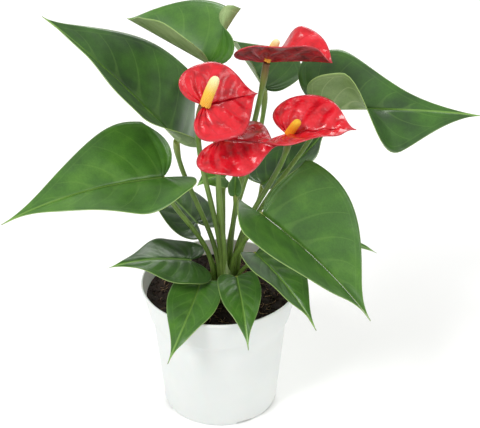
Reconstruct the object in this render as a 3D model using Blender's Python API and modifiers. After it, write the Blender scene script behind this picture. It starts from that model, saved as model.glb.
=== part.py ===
import math

import bmesh
import bpy
import numpy as np
from mathutils import Vector

# A potted anthurium. Blender works in metres; every length below is in millimetres
# and every angle in degrees. The origin is the middle of the pot's underside, +Z up.
MM = 0.001

RIM_RADIUS = 60.0
POT_HEIGHT = 106.0
RIM_LIP = 3.0
WALL = 1.4
COLLAR_BOTTOM_HEIGHT = 80.0
COLLAR_BOTTOM_RADIUS = 54.4
BODY_TOP_HEIGHT = 71.0
BODY_TOP_RADIUS = 50.8
BASE_RADIUS = 44.3
FLOOR_THICKNESS = 2.0
FOOT_HEIGHT = 2.0
FOOT_WIDTH = 4.0
PAD_RADIUS = 14.0
DRAIN_HOLES = 8
DRAIN_HOLE_RADIUS = 4.0
DRAIN_RING_RADIUS = 28.0
FOOT_NOTCHES = 4
NOTCH_WIDTH = 12.0
FIRST_NOTCH_ANGLE = -65.0
POT_STEPS = 64

GAP = 0.3
SOIL_BELOW_RIM = 12.0
SOIL_STEPS = 40
SOIL_LUMP = 1.1

CROWN_CENTRE = (5.0, 0.0)
CROWN_TOP = 106.2
CROWN_BOTTOM_RADIUS = 13.6
CROWN_TOP_RADIUS = 12.4
CROWN_CLEARING = 17.0

BLADE_THICKNESS = 0.8
MIDRIB_STEPS = 48
BASAL_STEPS = 16

# What a blade has unless its own entry says otherwise. Lengths along the blade are
# fractions of its length; the two values of a pair are the left and the right half,
# seen from above with the tip pointing away.
PLAIN_BLADE = {
    "droop": 0, "droop_power": 1.3, "sweep": 0, "roll": 0,
    "lobe": (0.2, 0.2), "widest": 0.18, "notch": 0.1, "shoulder": (0.45, 0.45), "taper": (0.3, 0.3),
    "fold": (0, 0), "cup": (0, 0), "flip": (0, 0), "flip_span": (-0.05, 0.3), "lift": 0,
}

# Each leaf: where its stalk meets the blade, which way it points and how it is folded,
# then its stalk's radius and its place on the crown (ring 0 to 2, angle).
LEAVES = {
    "upper_left": {
        "at": (-30.5, 19, 216), "heading": 160, "rise": 44, "droop": 9, "sweep": 5, "roll": -24,
        "length": 133, "width": 102, "lobe": (0.1, 0.1), "widest": 0.17, "notch": 0.2,
        "shoulder": (0.44, 0.62), "taper": (0.32, 0.2), "fold": (48, 0), "cup": (5, 0),
        "flip": (25, -42), "flip_span": (-0.1, 0.25), "lift": 20,
        "stalk": 2.1, "root": (1, 180),
    },
    "left": {
        "at": (-40, -20, 207), "heading": 207, "rise": 8, "droop": 25, "roll": -30,
        "length": 122, "width": 100, "lobe": (0.14, 0.2), "widest": 0.08, "notch": 0.2,
        "shoulder": (0.3, 0.3), "taper": (0.35, 0.35), "fold": (28, 5), "cup": (0, -10),
        "flip": (20, 0), "lift": 75,
        "stalk": 2.1, "root": (2, 180),
    },
    "top": {
        "at": (-7, 15, 280), "heading": 146, "rise": 14, "roll": -8,
        "length": 74, "width": 94, "lobe": (0.06, 0.6), "notch": 0.12, "shoulder": (0.6, 0.6),
        "taper": (0.15, 0.15),
        "fold": (54, 42), "cup": (0, -40), "flip": (0, 35), "flip_span": (-0.2, 0.2), "lift": 45,
        "stalk": 2.1, "root": (2, 120),
    },
    "back_centre": {
        "at": (33.5, 64, 237), "heading": 120, "rise": 26, "droop": 10, "roll": -15,
        "length": 58, "width": 70, "lobe": (0.2, 0.2), "fold": (75, 5), "lift": 30,
        "stalk": 2.0, "root": (2, 90),
    },
    "upper_right": {
        "at": (78, 38, 232), "heading": -5, "rise": 5, "droop": 10, "droop_power": 1.0, "roll": 45,
        "length": 118, "width": 96, "lobe": (0.2, 0.12), "widest": 0.08, "notch": 0.2,
        "shoulder": (0.16, 0.5), "taper": (0.6, 0.3),
        "fold": (-2, 8), "flip": (0, 95), "flip_span": (0.12, 0.5),
        "lift": 20, "stalk": 2.1, "root": (2, 30),
    },
    "right": {
        "at": (32, -30, 182), "heading": -24, "rise": -30, "droop": 20, "roll": 40,
        "length": 110, "width": 108, "lobe": (0.12, 0.28), "widest": 0.14, "notch": 0.25,
        "shoulder": (0.5, 0.5), "fold": (5, 58), "lift": 60,
        "stalk": 2.1, "root": (1, 300),
    },
    "back_right": {
        "at": (33, 50, 162), "heading": 25, "rise": 20, "droop": -10, "sweep": 30, "roll": 20,
        "length": 75, "width": 50, "lobe": (0.12, 0.05), "notch": 0.25, "fold": (0, 38), "lift": 50,
        "stalk": 1.7, "root": (2, 60),
    },
    "back_left": {
        "at": (-18, 20, 146), "heading": 145, "rise": 35, "droop": 20,
        "length": 62, "width": 46, "lobe": (0.2, 0.2), "lift": 20,
        "stalk": 1.7, "root": (2, 150),
    },
    "low_left": {
        "at": (-22.5, -12, 132), "heading": 205, "rise": 20, "droop": 25, "roll": -20,
        "length": 66, "width": 49, "lobe": (0.22, 0.28), "notch": 0.2, "shoulder": (0.3, 0.3),
        "taper": (0.35, 0.35),
        "fold": (0, -10), "stalk": 1.7, "root": (2, 210),
    },
    "front_left": {
        "at": (-14, -22, 118), "heading": 257, "rise": -12, "droop": 30, "sweep": -18,
        "length": 72, "width": 40, "lobe": (0.04, 0.04), "widest": 0.2, "notch": 0.3, "fold": (8, 8),
        "stalk": 1.6, "root": (2, 240),
    },
    "front_centre": {
        "at": (13, -22, 123), "heading": 279, "rise": -10, "droop": 42, "droop_power": 1.6,
        "length": 63, "width": 32, "lobe": (0.04, 0.04), "widest": 0.2, "notch": 0.3, "fold": (10, 10),
        "stalk": 1.5, "root": (2, 300),
    },
    "low_right": {
        "at": (27, -14, 139), "heading": -52, "rise": -10, "droop": 30, "roll": 15,
        "length": 78, "width": 48, "lobe": (0.03, 0.0), "notch": 0.25, "fold": (0, 42),
        "stalk": 1.7, "root": (2, 330),
    },
    "low_back": {
        "at": (62, 10, 137), "heading": 5, "rise": 0, "droop": 35,
        "length": 62, "width": 34, "lobe": (0.28, 0.28), "stalk": 1.6, "root": (2, 0),
    },
    "young": {
        "at": (3.5, 1, 195), "heading": 205, "rise": 25, "droop": 75, "roll": -10,
        "length": 24, "width": 20, "lobe": (0.15, 0.15), "fold": (-15, 15),
        "stalk": 2.1, "root": (1, 120),
    },
    "bud": {
        "at": (12, -8, 186), "heading": 85, "rise": 80, "droop": -10,
        "length": 20, "width": 12, "lobe": (0.05, 0.05), "widest": 0.3, "fold": (30, 30),
        "stalk": 1.6, "root": (0, 0),
    },
}

# Each flower: its spathe is a blade too, and its spadix leans from the same point.
FLOWERS = {
    "left": {
        "at": (-9, -28, 268), "heading": 28, "rise": 0, "roll": 55,
        "length": 42, "width": 58, "lobe": (0.34, 0.34), "widest": 0.25, "notch": 0.2,
        "shoulder": (0.6, 0.6), "taper": (0.2, 0.2), "fold": (0, 18),
        "stalk": 2.2, "root": (1, 240), "spadix": (7.4, 0, 19.7), "spadix_radius": 3.6,
    },
    "top": {
        "at": (34.5, 20, 279), "heading": -5, "rise": 6, "droop": 10, "roll": -5,
        "length": 47, "width": 56, "lobe": (0.45, 0.45), "widest": 0.35, "notch": 0.2,
        "shoulder": (0.95, 0.8), "taper": (0.06, 0.12), "fold": (45, 42),
        "flip": (-52, 0), "flip_span": (0.1, 0.55),
        "stalk": 2.2, "root": (1, 60), "spadix": (7, -2, 15), "spadix_radius": 3.0,
    },
    "right": {
        "at": (50, -18, 240), "heading": -10, "rise": 15, "droop": 10, "roll": 35,
        "length": 48, "width": 60, "lobe": (0.25, 0.25), "widest": 0.3, "notch": 0.25,
        "shoulder": (0.7, 0.7), "taper": (0.2, 0.2), "fold": (0, 50),
        "stalk": 2.2, "root": (1, 0), "spadix": (6, -5, 12), "spadix_radius": 3.0,
    },
    "low": {
        "at": (2, -20, 237), "heading": -10, "rise": 4, "droop": 10, "roll": 6,
        "length": 42, "width": 60, "lobe": (0.36, 0.36), "widest": 0.3, "notch": 0.2,
        "shoulder": (0.7, 0.7), "taper": (0.2, 0.2), "fold": (-5, -22),
        "stalk": 2.1, "root": (2, 270), "spadix": (3, 5, 12), "spadix_radius": 2.9,
    },
}
RING_RADII = (0.0, 4.8, 9.4)
STALK_START = CROWN_TOP + GAP

# Papery sheaths that stand on the crown, each a narrow blade of its own.
SHEATHS = {
    "sheath_front": {
        "at": (6.5, -13.8, 107), "heading": -100, "rise": 82, "droop": 10,
        "length": 30, "width": 7, "lobe": (0, 0), "widest": 0.3, "fold": (25, 25),
    },
    "sheath_dry": {
        "at": (18.2, -3.4, 107.2), "heading": -8, "rise": 82, "droop": 8,
        "length": 20, "width": 5.4, "lobe": (0, 0), "widest": 0.35, "fold": (8, 8),
    },
}
DRY_ROOT = [(-13, -4, 97), (-15, -5, 104), (-13, -2, 111), (-15, -1, 118)]
DRY_ROOT_RADIUS = 1.4


def clear_scene():
    for obj in list(bpy.data.objects):
        bpy.data.objects.remove(obj)


def new_collection(name):
    collection = bpy.data.collections.new(name)
    bpy.context.scene.collection.children.link(collection)
    return collection


def material(name, colour, roughness):
    made = bpy.data.materials.new(name)
    made.use_nodes = True
    shader = made.node_tree.nodes["Principled BSDF"]
    shader.inputs["Base Color"].default_value = (*colour, 1)
    shader.inputs["Roughness"].default_value = roughness
    return made


def add_object(name, data, collection, surface=None):
    obj = bpy.data.objects.new(name, data)
    collection.objects.link(obj)
    if surface:
        data.materials.append(surface)
    return obj


def turned(name, profile, steps, collection, surface):
    """A profile of (radius, height) points, top to bottom on its outer side, turned round Z."""
    mesh = bpy.data.meshes.new(name)
    points = [(radius * MM, 0, height * MM) for radius, height in profile]
    edges = [(i, i + 1) for i in range(len(points) - 1)]
    if points[0][0] > 0:
        edges.append((len(points) - 1, 0))
    mesh.from_pydata(points, edges, [])
    obj = add_object(name, mesh, collection, surface)
    screw = obj.modifiers.new("Turn", "SCREW")
    screw.steps = steps
    screw.render_steps = steps
    screw.use_merge_vertices = True
    screw.merge_threshold = 0.00005
    return obj


def cut(obj, cutter):
    boolean = obj.modifiers.new("Cut " + cutter.name, "BOOLEAN")
    boolean.operation = "DIFFERENCE"
    boolean.solver = "EXACT"
    boolean.object = cutter


def joined_cutter(name, shapes, collection):
    """One cutter made of separate solids, which must not touch each other."""
    mesh = bpy.data.meshes.new(name)
    work = bmesh.new()
    for shape in shapes:
        shape(work)
    work.to_mesh(mesh)
    work.free()
    obj = add_object(name, mesh, collection)
    obj.hide_render = True
    obj.display_type = "WIRE"
    return obj


def wall_radius(height):
    """The pot's outer radius at this height."""
    heights = (0, BODY_TOP_HEIGHT, COLLAR_BOTTOM_HEIGHT, POT_HEIGHT - RIM_LIP, POT_HEIGHT)
    radii = (BASE_RADIUS, BODY_TOP_RADIUS, COLLAR_BOTTOM_RADIUS, RIM_RADIUS - 0.8, RIM_RADIUS)
    return float(np.interp(height, heights, radii))


def make_pot(parts, cutters, surface):
    floor_top = FOOT_HEIGHT + FLOOR_THICKNESS
    rim_inside = RIM_RADIUS - WALL
    profile = [
        (rim_inside + 0.3, POT_HEIGHT), (RIM_RADIUS - 0.4, POT_HEIGHT), (RIM_RADIUS, POT_HEIGHT - 0.6),
        (RIM_RADIUS, POT_HEIGHT - RIM_LIP + 0.4), (wall_radius(POT_HEIGHT - RIM_LIP), POT_HEIGHT - RIM_LIP),
        (COLLAR_BOTTOM_RADIUS, COLLAR_BOTTOM_HEIGHT), (COLLAR_BOTTOM_RADIUS - 0.9, COLLAR_BOTTOM_HEIGHT - 1.2),
        (BODY_TOP_RADIUS + 0.7, BODY_TOP_HEIGHT + 2), (BODY_TOP_RADIUS, BODY_TOP_HEIGHT - 2),
        (BASE_RADIUS + 0.2, 2.0), (BASE_RADIUS - 0.8, 0),
        (BASE_RADIUS - FOOT_WIDTH, 0), (BASE_RADIUS - FOOT_WIDTH - 0.5, FOOT_HEIGHT),
        (PAD_RADIUS + 0.5, FOOT_HEIGHT), (PAD_RADIUS, 0), (0, 0),
    ]
    inside = [
        (0, floor_top), (wall_radius(floor_top) - WALL - 2, floor_top),
        (wall_radius(floor_top + 3) - WALL, floor_top + 3),
        (BODY_TOP_RADIUS - WALL, BODY_TOP_HEIGHT - 2), (BODY_TOP_RADIUS - WALL + 0.7, BODY_TOP_HEIGHT + 2),
        (COLLAR_BOTTOM_RADIUS - WALL - 0.9, COLLAR_BOTTOM_HEIGHT - 1.2),
        (COLLAR_BOTTOM_RADIUS - WALL, COLLAR_BOTTOM_HEIGHT), (rim_inside, POT_HEIGHT - 0.6),
    ]
    pot = turned_shell("pot", profile, inside, parts, surface)
    holes = [drain_hole(360 * i / DRAIN_HOLES) for i in range(DRAIN_HOLES)]
    notches = [foot_notch(FIRST_NOTCH_ANGLE + 360 * i / FOOT_NOTCHES) for i in range(FOOT_NOTCHES)]
    cut(pot, joined_cutter("drain_holes", holes, cutters))
    cut(pot, joined_cutter("foot_notches", notches, cutters))
    return pot


def turned_shell(name, outer, inner, collection, surface):
    """A pot: the outer profile down to the axis, then the inner one back up to the rim."""
    mesh = bpy.data.meshes.new(name)
    points = [(radius * MM, 0, height * MM) for radius, height in outer + inner]
    edges = [(i, i + 1) for i in range(len(points) - 1) if i != len(outer) - 1]
    edges.append((len(points) - 1, 0))
    mesh.from_pydata(points, edges, [])
    obj = add_object(name, mesh, collection, surface)
    screw = obj.modifiers.new("Turn", "SCREW")
    screw.steps = POT_STEPS
    screw.render_steps = POT_STEPS
    screw.use_merge_vertices = True
    screw.merge_threshold = 0.00005
    return obj


def drain_hole(angle):
    def shape(work):
        turn = math.radians(angle)
        made = bmesh.ops.create_cone(
            work, cap_ends=True, segments=16, radius1=DRAIN_HOLE_RADIUS * MM,
            radius2=DRAIN_HOLE_RADIUS * MM, depth=3 * FLOOR_THICKNESS * MM)
        middle = (DRAIN_RING_RADIUS * math.cos(turn), DRAIN_RING_RADIUS * math.sin(turn),
                  FOOT_HEIGHT + FLOOR_THICKNESS / 2)
        bmesh.ops.translate(work, verts=made["verts"], vec=Vector(middle) * MM)
    return shape


def foot_notch(angle):
    def shape(work):
        made = bmesh.ops.create_cube(work, size=1)["verts"]
        bmesh.ops.scale(work, verts=made, vec=Vector((3 * FOOT_WIDTH, NOTCH_WIDTH, 2 * FOOT_HEIGHT)) * MM)
        bmesh.ops.translate(work, verts=made, vec=Vector((BASE_RADIUS, 0, -0.1)) * MM)
        turn = math.radians(angle)
        for vert in made:
            x, y, z = vert.co
            vert.co = (x * math.cos(turn) - y * math.sin(turn), x * math.sin(turn) + y * math.cos(turn), z)
    return shape


def soil_lumps(x, y):
    """Height of the loose surface over its mean level, flat where the crown stands."""
    lumps = math.sin(0.31 * x + 1) * math.cos(0.27 * y) + 0.5 * math.sin(0.57 * y + 0.4 * x)
    from_crown = math.hypot(x - CROWN_CENTRE[0], y - CROWN_CENTRE[1])
    return SOIL_LUMP * lumps * min(1, max(0, (from_crown - CROWN_CLEARING) / 6))


def make_soil(parts, surface):
    top = POT_HEIGHT - SOIL_BELOW_RIM
    bottom = FOOT_HEIGHT + FLOOR_THICKNESS + GAP
    side = [(wall_radius(z) - WALL - GAP, z) for z in (top, COLLAR_BOTTOM_HEIGHT)]
    side.append((COLLAR_BOTTOM_RADIUS - 0.9 - WALL - GAP, COLLAR_BOTTOM_HEIGHT - 1.2))
    side += [(BODY_TOP_RADIUS + 0.4 - WALL - GAP, BODY_TOP_HEIGHT + 2),
             (BODY_TOP_RADIUS - WALL - GAP, BODY_TOP_HEIGHT - 2)]
    side += [(wall_radius(bottom + 3) - WALL - GAP - 0.1, bottom + 3),
             (wall_radius(bottom) - WALL - GAP - 2.3, bottom), (0, bottom)]
    rings = [(side[0][0] * i / 7, top) for i in range(8)]
    soil = turned("soil", rings + side[1:], SOIL_STEPS, parts, surface)
    mesh = bpy.data.meshes.new_from_object(soil.evaluated_get(bpy.context.evaluated_depsgraph_get()))
    for vert in mesh.vertices:
        if vert.co.z > (top - 0.1) * MM and vert.co.xy.length < (side[0][0] - 1) * MM:
            vert.co.z += soil_lumps(vert.co.x / MM, vert.co.y / MM) * MM
    soil.modifiers.clear()
    soil.data = mesh
    return soil


def make_crown(parts, surface):
    """The short woody stump that every stalk grows from."""
    mesh = bpy.data.meshes.new("crown_stem")
    work = bmesh.new()
    bottom = POT_HEIGHT - SOIL_BELOW_RIM + GAP
    bmesh.ops.create_cone(
        work, cap_ends=True, segments=18, radius1=CROWN_BOTTOM_RADIUS * MM,
        radius2=CROWN_TOP_RADIUS * MM, depth=(CROWN_TOP - bottom) * MM)
    work.to_mesh(mesh)
    work.free()
    crown = add_object("crown_stem", mesh, parts, surface)
    crown.location = Vector((*CROWN_CENTRE, (CROWN_TOP + bottom) / 2)) * MM
    return crown


def full_entry(entry):
    return {**PLAIN_BLADE, **entry}


def cubic(points, count):
    """Points along a cubic with these four controls, without its last one."""
    t = np.linspace(0, 1, count, endpoint=False)[:, None]
    a, b, c, d = (np.array(point, float) for point in points)
    return (1 - t) ** 3 * a + 3 * t * (1 - t) ** 2 * b + 3 * t * t * (1 - t) * c + t ** 3 * d


def half_outline(blade, side, basal, apical):
    """(along, across) points of one half, from the stalk round the lobe to the tip."""
    length, half = blade["length"], blade["width"] / 2
    widest = blade["widest"] * length
    back = (blade["lobe"][side] * length + 0.09 * widest) / 0.74
    lobe = cubic([(0, 0), (-back, blade["notch"] * blade["width"]), (-back, half), (widest, half)], basal)
    shoulder = widest + blade["shoulder"][side] * (length - widest)
    flank = cubic([(widest, half), (shoulder, half),
                   (length * (1 - blade["taper"][side]), 0.04 * half), (length, 0)], apical)
    return np.vstack([lobe, flank, [(length, 0)]])


def blade_frames(blade):
    """Points and directions along the midrib, from behind the stalk to the tip."""
    length = blade["length"]
    along = np.concatenate([np.linspace(-0.6 * length, 0, BASAL_STEPS + 1)[:-1],
                            np.linspace(0, length, MIDRIB_STEPS + 1)])
    share = np.clip(along / length, 0, 1)
    behind = np.clip(-along / (0.3 * length), 0, None)
    sag = blade["droop"] * share ** blade["droop_power"]
    rise = np.radians(blade["rise"] - sag - blade["lift"] * behind)
    heading = np.radians(blade["heading"] + blade["sweep"] * share ** 1.2)
    forward = np.stack([np.cos(rise) * np.cos(heading), np.cos(rise) * np.sin(heading), np.sin(rise)], -1)
    level = np.stack([-np.sin(heading), np.cos(heading), np.zeros_like(heading)], -1)
    upward = np.cross(forward, level)
    roll = math.radians(blade["roll"])
    left = level * math.cos(roll) + upward * math.sin(roll)
    face = upward * math.cos(roll) - level * math.sin(roll)
    steps = (forward[1:] + forward[:-1]) / 2 * np.diff(along)[:, None]
    walked = np.vstack([np.zeros(3), np.cumsum(steps, axis=0)])
    spine = walked - walked[BASAL_STEPS] + np.array(blade["at"], float)
    return along, spine, forward, left, face


def bend(blade, flat, side):
    """Places flat (along, across) points of the left (0) or right (1) half in space."""
    along, spine, _, left, face = blade_frames(blade)
    a, b = flat[:, 0], flat[:, 1]
    at, left, face = (np.stack([np.interp(a, along, axis[:, i]) for i in range(3)], -1)
                      for axis in (spine, left, face))
    start, end = blade["flip_span"]
    ease = np.clip(1 - (a / blade["length"] - start) / (end - start), 0, 1)
    ease = ease * ease * (3 - 2 * ease)
    fold = np.radians(blade["fold"][side] + blade["flip"][side] * ease)
    curve = math.radians(blade["cup"][side] or 0.001) / (blade["width"] / 2)
    out = (np.sin(fold + curve * b) - np.sin(fold)) / curve
    up = (np.cos(fold) - np.cos(fold + curve * b)) / curve
    return at + left * (out * (1 - 2 * side))[:, None] + face * up[:, None]


def make_blade(name, entry, grid, collection, surface):
    """A leaf, spathe or sheath: rays from the midrib to the margin on each half."""
    blade = full_entry(entry)
    basal, apical, across = grid
    margins = [half_outline(blade, side, basal, apical) for side in (0, 1)]
    middle = (margins[0] + margins[1]) / 2 * (1, 0)
    middle[:, 0] = blade["length"] * np.clip(middle[:, 0] / blade["length"], 0, 1) ** 1.5
    work = bmesh.new()
    for side, margin in enumerate(margins):
        columns = []
        for share in np.linspace(0, 1, across + 1):
            points = bend(blade, middle + (margin - middle) * share, side)
            columns.append([work.verts.new(Vector(point) * MM) for point in points])
        for inner, outer in zip(columns, columns[1:]):
            for i in range(len(inner) - 1):
                corners = [inner[i], outer[i], outer[i + 1], inner[i + 1]]
                work.faces.new(corners if side else corners[::-1])
    bmesh.ops.remove_doubles(work, verts=work.verts, dist=0.02 * MM)
    bmesh.ops.dissolve_degenerate(work, edges=work.edges, dist=0.02 * MM)
    mesh = bpy.data.meshes.new(name)
    work.to_mesh(mesh)
    work.free()
    obj = add_object(name, mesh, collection, surface)
    solid = obj.modifiers.new("Thickness", "SOLIDIFY")
    solid.thickness = BLADE_THICKNESS * MM
    solid.offset = 0
    for polygon in mesh.polygons:
        polygon.use_smooth = True
    return obj


def blade_base(entry):
    """The stalk's point with the forward and face directions there."""
    _, spine, forward, _, face = blade_frames(full_entry(entry))
    return spine[BASAL_STEPS], forward[BASAL_STEPS], face[BASAL_STEPS]


def tube(name, points, radius, radii, collection, surface, resolution=8):
    """A Bezier tube through knots given as (point, handle before, handle after)."""
    curve = bpy.data.curves.new(name, "CURVE")
    curve.dimensions = "3D"
    curve.bevel_depth = radius * MM
    curve.bevel_resolution = 2
    curve.use_fill_caps = True
    curve.resolution_u = resolution
    spline = curve.splines.new("BEZIER")
    spline.bezier_points.add(len(points) - 1)
    for knot, (point, before, after), scale in zip(spline.bezier_points, points, radii):
        knot.co = Vector(point) * MM
        knot.handle_left = Vector(before) * MM
        knot.handle_right = Vector(after) * MM
        knot.radius = scale
    return add_object(name, curve, collection, surface)


def root_point(entry):
    ring, angle = entry["root"]
    turn = math.radians(angle)
    radius = RING_RADII[ring]
    return np.array([CROWN_CENTRE[0] + radius * math.cos(turn), CROWN_CENTRE[1] + radius * math.sin(turn),
                     STALK_START])


def make_stalk(name, entry, collection, surface):
    """From the crown, nearly straight up at first, then over to the blade's underside."""
    base, forward, face = blade_base(entry)
    radius = entry["stalk"]
    end = base - face * (radius + 0.9) - forward * 0.8
    start = root_point(entry)
    reach = np.linalg.norm(end - start)
    leave = start + np.array([0, 0, 0.4 * reach])
    arrive = end - 0.3 * reach * (0.15 * forward + 0.25 * face + np.array([0, 0, 0.7]))
    knots = [(start, start, leave), (end, arrive, end)]
    return tube(name, knots, radius, (1.0, 0.9), collection, surface)


def make_spadix(name, entry, collection, surface):
    """The blunt spike that leans from the spathe's notch."""
    base, _, face = blade_base(entry)
    lean = np.array(entry["spadix"], float)
    radius = entry["spadix_radius"]
    start = base + face * (radius + 1.2)
    knots = [(start, start, start + lean * 0.2),
             (start + lean * 0.6, start + lean * 0.4, start + lean * 0.8),
             (start + lean, start + lean * 0.95, start + lean)]
    return tube(name, knots, radius, (0.9, 1.0, 0.7), collection, surface, 5)


def build():
    clear_scene()
    parts = new_collection("potted_anthurium")
    cutters = new_collection("cutters")
    pot_plastic = material("pot_plastic", (0.80, 0.82, 0.80), 0.4)
    peat = material("peat", (0.030, 0.020, 0.014), 0.95)
    leaf_green = material("leaf_green", (0.055, 0.170, 0.035), 0.4)
    stalk_green = material("stalk_green", (0.18, 0.27, 0.05), 0.45)
    spathe_red = material("spathe_red", (0.70, 0.010, 0.025), 0.25)
    spadix_yellow = material("spadix_yellow", (0.90, 0.62, 0.08), 0.6)
    dry_husk = material("dry_husk", (0.16, 0.10, 0.05), 0.8)

    make_pot(parts, cutters, pot_plastic)
    make_soil(parts, peat)
    make_crown(parts, stalk_green)
    for name, entry in LEAVES.items():
        large = entry["length"] > 100
        make_blade("leaf_" + name, entry, (6, 8, 3) if large else (4, 6, 2), parts, leaf_green)
        make_stalk("petiole_" + name, entry, parts, stalk_green)
    for name, entry in FLOWERS.items():
        make_blade("spathe_" + name, entry, (6, 6, 3), parts, spathe_red)
        make_stalk("peduncle_" + name, entry, parts, stalk_green)
        make_spadix("spadix_" + name, entry, parts, spadix_yellow)
    make_blade("sheath_front", SHEATHS["sheath_front"], (3, 5, 2), parts, stalk_green)
    make_blade("sheath_dry", SHEATHS["sheath_dry"], (3, 5, 2), parts, dry_husk)
    first, second, third, last = (np.array(point, float) for point in DRY_ROOT)
    route = [(first, first, second), (last, third, last)]
    tube("dry_root", route, DRY_ROOT_RADIUS, (1.0, 0.7), parts, dry_husk, 6)


build()
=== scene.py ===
import math

import bmesh
import bpy
import numpy as np
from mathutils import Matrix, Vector


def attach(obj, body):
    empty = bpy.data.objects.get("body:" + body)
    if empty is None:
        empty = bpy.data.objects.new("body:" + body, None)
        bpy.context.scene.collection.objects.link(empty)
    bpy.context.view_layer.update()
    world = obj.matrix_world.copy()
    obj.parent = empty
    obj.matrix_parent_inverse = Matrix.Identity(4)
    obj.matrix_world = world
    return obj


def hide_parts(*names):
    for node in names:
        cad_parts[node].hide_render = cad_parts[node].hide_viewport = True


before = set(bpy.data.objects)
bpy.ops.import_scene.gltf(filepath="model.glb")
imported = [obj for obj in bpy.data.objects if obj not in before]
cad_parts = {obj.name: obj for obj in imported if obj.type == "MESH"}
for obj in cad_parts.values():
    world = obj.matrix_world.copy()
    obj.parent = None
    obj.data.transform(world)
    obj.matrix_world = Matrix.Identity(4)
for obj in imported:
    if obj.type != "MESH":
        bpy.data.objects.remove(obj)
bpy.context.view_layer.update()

# A potted anthurium in its nursery pot. Lengths are in millimetres until they become mesh.
mm = 0.001
scene = bpy.context.scene
print("frame loaded:", len(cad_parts), "nodes")


# Small helpers

def hexColour(code):
    # sRGB hex to the linear colour that a shader wants
    values = [int(code[i:i + 2], 16) / 255 for i in (1, 3, 5)]
    return [v / 12.92 if v <= 0.04045 else ((v + 0.055) / 1.055) ** 2.4 for v in values] + [1.0]


def addNode(tree, kind, inputs=(), **settings):
    # one node, its settings, and its sockets given as plain values or as other sockets
    node = tree.nodes.new(kind)
    for name, value in settings.items():
        setattr(node, name, value)
    for name, value in dict(inputs).items():
        if isinstance(value, bpy.types.NodeSocket):
            tree.links.new(value, node.inputs[name])
        else:
            node.inputs[name].default_value = value
    return node


def calculated(tree, operation, *values):
    # the result socket of one arithmetic node
    return addNode(tree, "ShaderNodeMath", dict(enumerate(values)), operation=operation).outputs[0]


def startMaterial(name, **sockets):
    material = bpy.data.materials.new(name)
    material.use_nodes = True
    shader = material.node_tree.nodes["Principled BSDF"]
    for socket, value in sockets.items():
        shader.inputs[socket.replace("_", " ")].default_value = value
    return material, material.node_tree, shader


def meshObject(name, points, faces, materials, smooth=True):
    mesh = bpy.data.meshes.new(name)
    mesh.from_pydata([tuple(p) for p in points], [], faces)
    obj = bpy.data.objects.new(name, mesh)
    scene.collection.objects.link(obj)
    for material in materials:
        mesh.materials.append(material)
    mesh.polygons.foreach_set("use_smooth", [smooth] * len(mesh.polygons))
    return obj


def settle(obj):
    # swaps an object's modifiers for the plain mesh they make
    graph = bpy.context.evaluated_depsgraph_get()
    mesh = bpy.data.meshes.new_from_object(obj.evaluated_get(graph))
    obj.modifiers.clear()
    old, obj.data = obj.data, mesh
    bpy.data.meshes.remove(old)
    return obj


def runNodes(obj, tree, values):
    # puts a Geometry Nodes tree on obj with these named inputs, then keeps the plain mesh
    modifier = obj.modifiers.new(tree.name, "NODES")
    modifier.node_group = tree
    for item in tree.interface.items_tree:
        if item.name in values:
            modifier[item.identifier] = values[item.name]
    return settle(obj)


def nodeTree(name, inputs):
    tree = bpy.data.node_groups.new(name, "GeometryNodeTree")
    tree.interface.new_socket("Geometry", in_out="INPUT", socket_type="NodeSocketGeometry")
    for socketName, kind, value in inputs:
        socket = tree.interface.new_socket(socketName, in_out="INPUT", socket_type="NodeSocket" + kind)
        if value is not None:
            socket.default_value = value
    tree.interface.new_socket("Geometry", in_out="OUTPUT", socket_type="NodeSocketGeometry")
    start = tree.nodes.new("NodeGroupInput")
    return tree, start.outputs


def finishTree(tree, geometry, material):
    real = addNode(tree, "GeometryNodeRealizeInstances", {"Geometry": geometry})
    painted = addNode(tree, "GeometryNodeSetMaterial", {"Geometry": real.outputs[0], "Material": material})
    addNode(tree, "NodeGroupOutput", {"Geometry": painted.outputs[0]})


# Materials

# Living anthurium leaf: a waxy cuticle over soft tissue, so a broad satin sheen,
# pale sunken veins and a thin translucent margin.
leafLooks = {
    "deep": "#24431a", "green": "#426f24", "fresh": "#5d8c30", "vein": "#79a24a", "margin": "#8aa85a",
    "under": "#87a064", "underVein": "#a3b57e", "underDeep": "#64803f",
    "patchMm": 22, "cellMm": 1.3,  # cells are really 0.05 mm, drawn coarse enough to show
    "veinMm": 0.32, "midribMm": 0.75, "edgeVeinMm": 4.0,
}


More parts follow.
